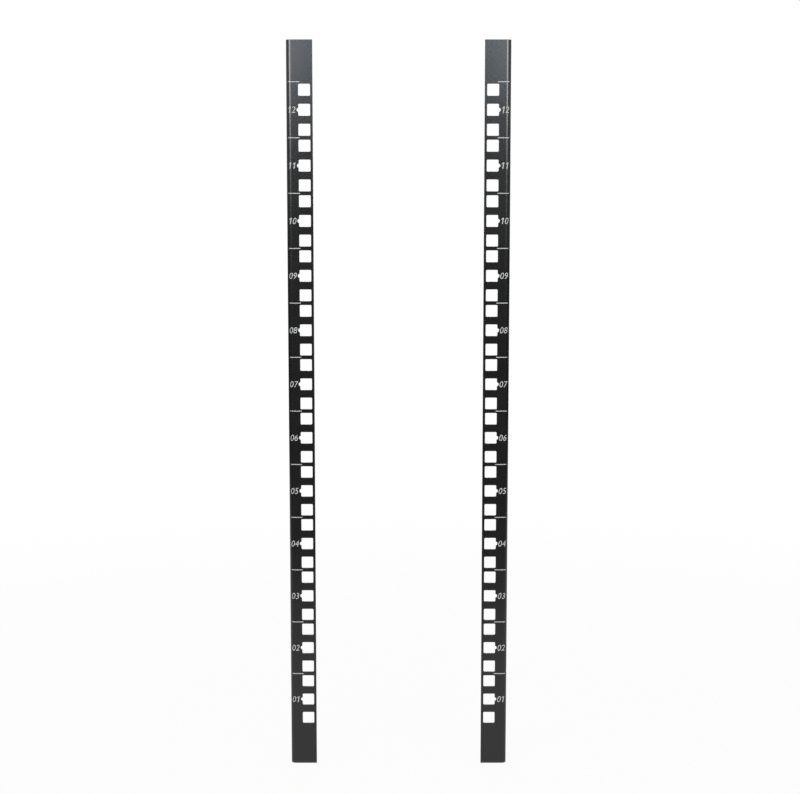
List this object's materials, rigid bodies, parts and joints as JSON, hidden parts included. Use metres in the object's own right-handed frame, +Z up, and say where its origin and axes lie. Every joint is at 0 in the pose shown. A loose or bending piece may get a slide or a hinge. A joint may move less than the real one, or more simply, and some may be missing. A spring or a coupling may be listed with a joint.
{
  "type": "rack mounting rail",
  "caption": "Opposite-handed black steel angle rails with square holes punched at rack-unit spacing and printed unit numbers, for fastening equipment in a cabinet.",
  "frame": {"origin": "on the floor midway between the two rails and midway through their depth", "axes": "+Z up along the rails, -Y out of the punched faces towards the equipment, +X to the right seen from the front"},
  "size_m": [0.1808, 0.04, 0.6],
  "materials": {
    "black_powder_coat": "satin",
    "white_ink": "matte"
  },
  "bodies": {
    "root": {"left_rail": "black_powder_coat", "right_rail": "black_powder_coat"}
  },
  "joints": []
}
